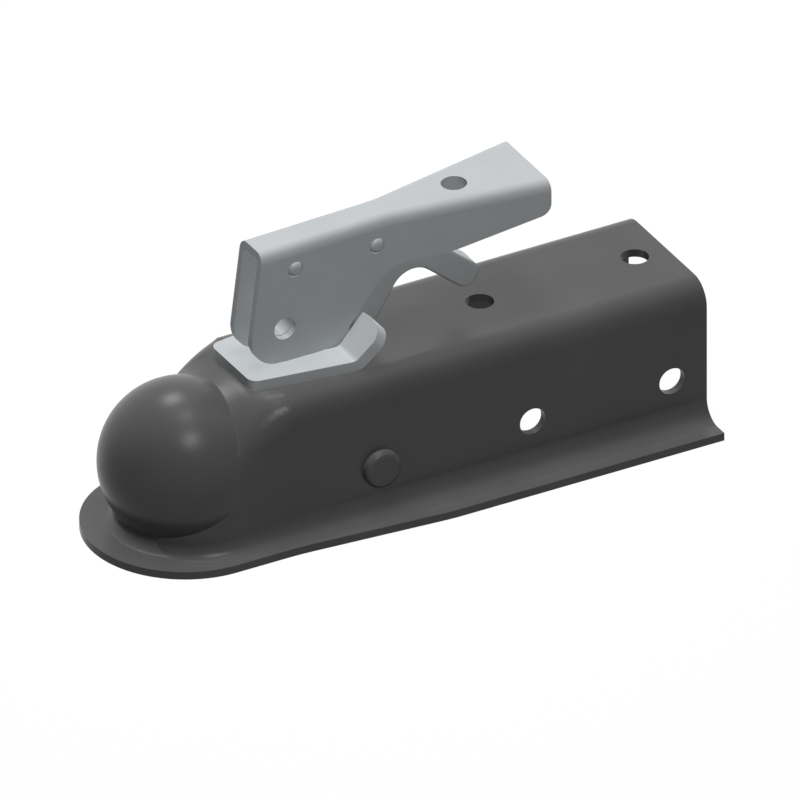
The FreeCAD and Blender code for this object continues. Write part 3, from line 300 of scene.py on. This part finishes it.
class Finish(Shader):
    """A material under construction."""

    def __init__(self, name):
        self.material = bpy.data.materials.new(name)
        self.material.use_nodes = True
        super().__init__(self.material.node_tree, "ShaderNodeOutputMaterial")

    def place(self, scale=(1, 1, 1)):
        """Object coordinates in metres, stretched per axis."""
        here = self.add("ShaderNodeTexCoord", output="Object")
        return self.add("ShaderNodeMapping", None, {"Vector": here, "Scale": scale})

    def noise(self, where, scale, detail=2.0, roughness=0.5):
        return self.add("ShaderNodeTexNoise", None, {
            "Vector": where, "Scale": scale, "Detail": detail, "Roughness": roughness}, "Fac")

    def crystals(self, where, scale):
        """Distance to the nearest of scattered points."""
        return self.add("ShaderNodeTexVoronoi", {"feature": "F1"}, {
            "Vector": where, "Scale": scale}, "Distance")

    def ramp(self, signal, start, end, strength=1.0):
        """Nothing up to the start, full strength from the end on."""
        stops = ((start, 0.0), (end, strength))
        return self.add("ShaderNodeValToRGB", {"stops": stops}, {"Fac": signal}, "Color")

    def mix_colour(self, amount, first, second):
        """A mix of two colours."""
        node = self.tree.nodes.new("ShaderNodeMix")
        node.data_type = "RGBA"
        by_name = {socket.identifier: socket for socket in node.inputs}
        self.feed(by_name["Factor_Float"], amount)
        self.feed(by_name["A_Color"], first)
        self.feed(by_name["B_Color"], second)
        result = [socket for socket in node.outputs if socket.identifier == "Result_Color"][0]
        return Signal(self, result)

    def vary(self, amount, colour, darkest, lightest):
        """The colour from its darkest to its lightest share."""
        return self.mix_colour(amount, shade(colour, darkest), shade(colour, lightest))

    def mottle(self, signal, colour, darkest, lightest, start, end):
        """The colour from its darkest share at the start to its lightest at the end."""
        return self.vary(self.ramp(signal, start, end), colour, darkest, lightest)

    def bump(self, height, distance, strength, below=None):
        inputs = {"Height": height, "Distance": distance, "Strength": strength}
        if below is not None:
            inputs["Normal"] = below
        return self.add("ShaderNodeBump", None, inputs)

    def surface(self, **sockets):
        """Finish with one principled surface; spaces in socket names are written as underscores."""
        names = {name.replace("_", " "): value for name, value in sockets.items()}
        self.show(self.add("ShaderNodeBsdfPrincipled", None, names))
        return self.material


def shade(colour, factor):
    """A darker or lighter version of a colour."""
    return tuple(min(1.0, channel * factor) for channel in colour)


def satin_paint(colour, satin=0.30, gloss=0.155, broad_swing=0.10, speck_swing=0.05):
    """Charcoal paint baked over a pressed sheet, with a faint orange peel."""
    finish = Finish("satin_charcoal_paint")
    here = finish.place()
    broad = finish.noise(here, scale=26.0, detail=3.0)
    peel = finish.noise(here, scale=620.0)
    speck = finish.noise(here, scale=2600.0, detail=1.0)
    base = finish.mottle(broad, colour, darkest=0.94, lightest=1.06, start=0.35, end=0.65)
    roughness = satin + (broad - NOISE_MEAN) * broad_swing + (speck - NOISE_MEAN) * speck_swing
    relief = finish.bump(peel, distance=0.05 * MM, strength=0.35)
    relief = finish.bump(speck, distance=0.012 * MM, strength=0.25, below=relief)
    return finish.surface(Base_Color=base, Roughness=roughness, Specular_IOR_Level=gloss,
                          Normal=relief)


def bright_zinc(name, zinc, tone, metallic, roughness, grain, gloss=0.15, line_tone=0.86,
                line_strength=0.16, line_swing=0.16, crystal_swing=0.06):
    """Zinc over rolled or turned steel: fine crystals, a faint drift and lines along the grain."""
    colour = shade(zinc, tone)
    finish = Finish(name)
    here = finish.place()
    drift = finish.noise(here, scale=34.0, detail=3.0)
    crystal = finish.crystals(here, scale=900.0)
    lines = finish.noise(finish.place(grain), scale=1.0, detail=3.0, roughness=0.6)
    cool = finish.mottle(drift, colour, darkest=0.965, lightest=1.03, start=0.3, end=0.7)
    worn = finish.ramp(lines, start=0.30, end=0.70, strength=line_strength)
    base = finish.mix_colour(worn, cool, shade(colour, line_tone))
    rough = roughness + (lines - NOISE_MEAN) * line_swing + (crystal - CRYSTAL_MEAN) * crystal_swing
    relief = finish.bump(lines, distance=0.010 * MM, strength=0.30)
    relief = finish.bump(crystal, distance=0.006 * MM, strength=0.25, below=relief)
    return finish.surface(Base_Color=base, Roughness=rough, Metallic=metallic,
                          Specular_IOR_Level=gloss, Normal=relief)


def cast_zinc(colour, roughness=0.50, grain_swing=0.18, metallic=0.45):
    """Zinc over a sand-cast surface."""
    finish = Finish("cast_zinc")
    here = finish.place()
    lumps = finish.noise(here, scale=210.0, detail=4.0, roughness=0.6)
    grain = finish.noise(here, scale=1300.0)
    base = finish.mottle(lumps, colour, darkest=0.80, lightest=1.10, start=0.35, end=0.7)
    relief = finish.bump(lumps, distance=0.16 * MM, strength=0.55)
    relief = finish.bump(grain, distance=0.05 * MM, strength=0.45, below=relief)
    return finish.surface(Base_Color=base, Roughness=roughness + (grain - NOISE_MEAN) * grain_swing,
                          Metallic=metallic, Normal=relief)


def drawn_wire(colour, roughness=0.34, line_swing=0.14, metallic=0.85):
    """Oiled spring wire with drawing lines."""
    finish = Finish("drawn_spring_wire")
    here = finish.place()
    lines = finish.noise(here, scale=1500.0, detail=3.0, roughness=0.6)
    drift = finish.noise(here, scale=60.0)
    base = finish.vary(drift, colour, darkest=0.82, lightest=1.15)
    return finish.surface(Base_Color=base, Roughness=roughness + (lines - NOISE_MEAN) * line_swing,
                          Metallic=metallic,
                          Normal=finish.bump(lines, distance=0.008 * MM, strength=0.3))


def nylon(colour, roughness=0.42, grain_swing=0.1):
    """Moulded nylon with a faint grain."""
    finish = Finish("nylon_ring")
    grain = finish.noise(finish.place(), scale=900.0)
    base = finish.vary(grain, colour, darkest=0.94, lightest=1.04)
    return finish.surface(Base_Color=base, Roughness=roughness + (grain - NOISE_MEAN) * grain_swing,
                          Normal=finish.bump(grain, distance=0.01 * MM, strength=0.3))


def dress(names, material):
    """Give CAD nodes a finish."""
    for name in names:
        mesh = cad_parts[name].data
        mesh.materials.clear()
        mesh.materials.append(material)


def wind(bm, centre, rise, turns, steps_per_turn):
    """Sweep the profile that bm holds along a helix about the upright line through centre."""
    steps = int(round(turns * steps_per_turn))
    bmesh.ops.spin(
        bm, geom=[*bm.faces, *bm.edges, *bm.verts], cent=(centre.x, centre.y, 0), axis=(0, 0, 1),
        dvec=(0, 0, rise / steps), angle=turns * math.tau, steps=steps,
        use_merge=False, use_duplicate=False)
    bmesh.ops.recalc_face_normals(bm, faces=bm.faces)


def add_object(context, name, bm, material):
    """Put the mesh in the scene with its finish."""
    mesh = bpy.data.meshes.new(name)
    bm.to_mesh(mesh)
    bm.free()
    piece = bpy.data.objects.new(name, mesh)
    context.scene.collection.objects.link(piece)
    mesh.materials.append(material)
    return piece


def finish_of(node):
    """The finish that a CAD node wears."""
    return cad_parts[node].data.materials[0]


# Operators

class COUPLING_OT_paint_housing(bpy.types.Operator):
    """Charcoal satin paint on the pressed housing and its riveted jaw pin"""
    bl_idname = "coupling.paint_housing"
    bl_label = "Paint the housing"

    def execute(self, context):
        colour = tuple(context.scene.coupling_finish.paint)
        dress(["housing", "jaw_pivot_pin"], satin_paint(colour))
        return {"FINISHED"}


class COUPLING_OT_plate_latch(bpy.types.Operator):
    """Bright zinc on the latch plate, lever, trigger, pins and washers"""
    bl_idname = "coupling.plate_latch"
    bl_label = "Plate the latch"

    def execute(self, context):
        zinc = tuple(context.scene.coupling_finish.zinc)
        dress(["latch_plate"], bright_zinc(
            "zinc_plate", zinc, tone=1.04, metallic=0.05, roughness=0.38, grain=ROLLED_ALONG))
        dress(["lever"], bright_zinc(
            "zinc_lever", zinc, tone=1.0, metallic=0.05, roughness=0.38, grain=ROLLED_ALONG))
        # The trigger's zinc is toned darker than the lever's: painted shade where it lies deeper
        # between the lever's walls, since the lamps cast no shadow there
        dress(["trigger"], bright_zinc(
            "zinc_trigger_painted_shade", zinc, tone=0.90, metallic=0.06, roughness=0.40, grain=CUT_ALL_WAYS))
        dress(TURNED_PIECES, bright_zinc(
            "zinc_turned", zinc, tone=0.96, metallic=0.05, roughness=0.36, grain=TURNED_ACROSS))
        return {"FINISHED"}


class COUPLING_OT_finish_jaw(bpy.types.Operator):
    """Zinc over the cast ball jaw"""
    bl_idname = "coupling.finish_jaw"
    bl_label = "Finish the jaw"

    def execute(self, context):
        dress(["ball_jaw"], cast_zinc(tuple(context.scene.coupling_finish.casting)))
        return {"FINISHED"}


class COUPLING_OT_finish_fasteners(bpy.types.Operator):
    """Plated steel on the pull bolt and nut, nylon in the nut"""
    bl_idname = "coupling.finish_fasteners"
    bl_label = "Finish the pull bolt"

    def execute(self, context):
        settings = context.scene.coupling_finish
        dress(["pull_bolt", "adjusting_nut"], bright_zinc(
            "bolt_steel", tuple(settings.bolt_steel), tone=1.0, metallic=0.10, roughness=0.38,
            grain=TURNED_UPRIGHT))
        dress(["nut_insert"], nylon(tuple(settings.nylon)))
        return {"FINISHED"}


class COUPLING_OT_finish_springs(bpy.types.Operator):
    """Drawn wire on the jaw spring and the trigger spring"""
    bl_idname = "coupling.finish_springs"
    bl_label = "Finish the springs"

    def execute(self, context):
        colour = tuple(context.scene.coupling_finish.spring_steel)
        dress(["jaw_spring", "trigger_spring"], drawn_wire(colour))
        return {"FINISHED"}


class COUPLING_OT_cut_thread(bpy.types.Operator):
    """Rolled thread on the lower end of the pull bolt"""
    bl_idname = "coupling.cut_thread"
    bl_label = "Cut the bolt's thread"

    def execute(self, context):
        settings = context.scene.coupling_thread
        centre = (NUT_LOW + NUT_HIGH) / 2
        start = BOLT_LOW.z + settings.lead_in
        root = settings.shank - settings.sink
        crest = settings.shank + settings.crest
        half = settings.pitch * settings.foot_share
        tip = settings.pitch * settings.tip_share
        turns = settings.length / settings.pitch
        bm = bmesh.new()
        corners = [bm.verts.new((centre.x + radius, centre.y, start + rise)) for radius, rise in (
            (root, -half), (crest, -tip), (crest, tip), (root, half))]
        bm.faces.new(corners)
        wind(bm, centre, settings.length, turns, settings.steps)
        thread = add_object(context, "pull_bolt_thread", bm, finish_of("pull_bolt"))
        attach(thread, "pull_bolt")
        return {"FINISHED"}


class COUPLING_OT_wind_spring(bpy.types.Operator):
    """Trigger spring wound as a fixed helix and carried with the lever"""
    bl_idname = "coupling.wind_spring"
    bl_label = "Wind the trigger spring"

    def execute(self, context):
        settings = context.scene.coupling_spring
        centre = (SPRING_LOW + SPRING_HIGH) / 2
        radius = (SPRING_HIGH.x - SPRING_LOW.x) / 2 - settings.wire
        rise = SPRING_HIGH.z - SPRING_LOW.z - 2 * settings.wire
        begin = Matrix.Translation((centre.x + radius, centre.y, SPRING_LOW.z + settings.wire))
        bm = bmesh.new()
        bmesh.ops.create_circle(
            bm, cap_ends=True, segments=settings.facets, radius=settings.wire,
            matrix=begin @ Matrix.Rotation(math.pi / 2, 4, "X"))
        wind(bm, centre, rise, settings.turns, settings.steps)
        for face in bm.faces:
            face.smooth = len(face.verts) == 4
        coil = add_object(context, "trigger_spring_coil", bm, finish_of("trigger_spring"))
        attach(coil, "lever")
        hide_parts("trigger_spring")
        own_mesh(coil)
        return {"FINISHED"}


class COUPLING_OT_set_stage(bpy.types.Operator):
    """White floor, lamps from above and the parallel camera"""
    bl_idname = "coupling.set_stage"
    bl_label = "Set the stage"

    def execute(self, context):
        settings = context.scene.coupling_stage
        above = Vector((0, 0, 1))
        right = Vector((math.cos(settings.azimuth), math.sin(settings.azimuth), 0))
        towards = Vector((math.sin(settings.azimuth), -math.cos(settings.azimuth), 0))
        back = towards * math.cos(settings.elevation) + above * math.sin(settings.elevation)
        upward = back.cross(right)

        camera = bpy.data.objects.new("camera", bpy.data.cameras.new("camera"))
        camera.data.type = "ORTHO"
        camera.data.ortho_scale = settings.frame_width
        camera.location = (CENTRE + back * settings.camera_distance
                           + right * settings.aim_right - upward * settings.aim_down)
        camera.rotation_euler = back.to_track_quat("Z", "Y").to_euler()
        context.scene.collection.objects.link(camera)
        context.scene.camera = camera

        def direction(shares):
            return towards * shares[2] + above * shares[1] + right * shares[0]

        self.add_lamp(context, "lamp_back", direction(settings.back_from), settings.back_light)
        self.add_lamp(context, "lamp_front", direction(settings.front_from), settings.front_light)
        fill_from = direction(settings.fill_from)
        fill = self.add_lamp(context, "lamp_fill", fill_from, settings.fill_light)
        fill.visible_glossy = False
        top = self.add_lamp(context, "lamp_top", above, settings.top_light)
        top.data.use_shadow = True
        self.add_world(context)
        self.add_floor(context)
        context.scene.view_settings.view_transform = "Standard"
        return {"FINISHED"}

    def add_lamp(self, context, name, direction, brightness):
        """A square lamp without shadow; brightness is what a white card facing it shows."""
        settings = context.scene.coupling_stage
        data = bpy.data.lights.new(name, "AREA")
        data.shape = "SQUARE"
        data.size = settings.lamp_size
        data.energy = brightness * math.pi ** 2 * settings.lamp_distance ** 2
        data.use_shadow = False
        lamp = bpy.data.objects.new(name, data)
        lamp.location = CENTRE + direction.normalized() * settings.lamp_distance
        lamp.rotation_euler = direction.to_track_quat("Z", "Y").to_euler()
        context.scene.collection.objects.link(lamp)
        return lamp

    def add_world(self, context):
        """White to the camera and in reflections, dim as a source of light."""
        ambient = context.scene.coupling_stage.ambient
        world = bpy.data.worlds.new("studio")
        world.use_nodes = True
        sky = Shader(world.node_tree, "ShaderNodeOutputWorld")
        level = ambient + sky.seen_by_eye() * (1 - ambient)
        sky.show(sky.add("ShaderNodeBackground", None, {"Color": (1, 1, 1), "Strength": level}))
        context.scene.world = world

    def add_floor(self, context):
        """Floor that the eye sees as white with a faint shadow; it throws little light back."""
        settings = context.scene.coupling_stage
        finish = Finish("pale_floor")
        matt_white = (1 - settings.floor_glow) * settings.floor_white
        matt = finish.add("ShaderNodeBsdfDiffuse", None, {"Color": (matt_white,) * 3})
        glow = finish.add("ShaderNodeEmission", None, {
            "Color": (1, 1, 1), "Strength": settings.floor_glow})
        white = finish.add("ShaderNodeAddShader", None, {0: matt, 1: glow})
        dim = finish.add("ShaderNodeBsdfDiffuse", None, {"Color": (settings.floor_bounce,) * 3})
        finish.show(finish.add("ShaderNodeMixShader", None, {
            0: finish.seen_by_eye(), 1: dim, 2: white}))

        bm = bmesh.new()
        bmesh.ops.create_grid(bm, x_segments=1, y_segments=1, size=settings.floor_reach)
        floor = add_object(context, "floor", bm, finish.material)
        floor.location.z = CAD_LOW.z - settings.floor_gap


class COUPLING_PT_panel(bpy.types.Panel):
    """Sizes, finishes and steps of the coupling head"""
    bl_idname = "COUPLING_PT_panel"
    bl_label = "Coupling head"
    bl_space_type = "VIEW_3D"
    bl_region_type = "UI"
    bl_category = "Coupling"

    def draw(self, context):
        layout = self.layout
        for group in (context.scene.coupling_stage, context.scene.coupling_finish,
                      context.scene.coupling_thread, context.scene.coupling_spring):
            box = layout.box()
            for name in group.__annotations__:
                box.prop(group, name)
        for step in STEPS:
            layout.operator(step.bl_idname)


SETTINGS = {
    "coupling_stage": CouplingStageSettings,
    "coupling_finish": CouplingFinishSettings,
    "coupling_thread": CouplingThreadSettings,
    "coupling_spring": CouplingSpringSettings,
}
STEPS = (
    COUPLING_OT_paint_housing,
    COUPLING_OT_plate_latch,
    COUPLING_OT_finish_jaw,
    COUPLING_OT_finish_fasteners,
    COUPLING_OT_finish_springs,
    COUPLING_OT_cut_thread,
    COUPLING_OT_wind_spring,
    COUPLING_OT_set_stage,
)


def register():
    for name, group in SETTINGS.items():
        bpy.utils.register_class(group)
        setattr(bpy.types.Scene, name, bpy.props.PointerProperty(type=group))
    for thing in (*STEPS, COUPLING_PT_panel):
        bpy.utils.register_class(thing)


def unregister():
    for thing in reversed((*STEPS, COUPLING_PT_panel)):
        bpy.utils.unregister_class(thing)
    for name, group in SETTINGS.items():
        delattr(bpy.types.Scene, name)
        bpy.utils.unregister_class(group)


def main():
    register()
    bpy.ops.coupling.paint_housing()
    bpy.ops.coupling.plate_latch()
    bpy.ops.coupling.finish_jaw()
    bpy.ops.coupling.finish_fasteners()
    bpy.ops.coupling.finish_springs()
    bpy.ops.coupling.cut_thread()
    bpy.ops.coupling.wind_spring()
    bpy.ops.coupling.set_stage()


if __name__ == "__main__":
    main()
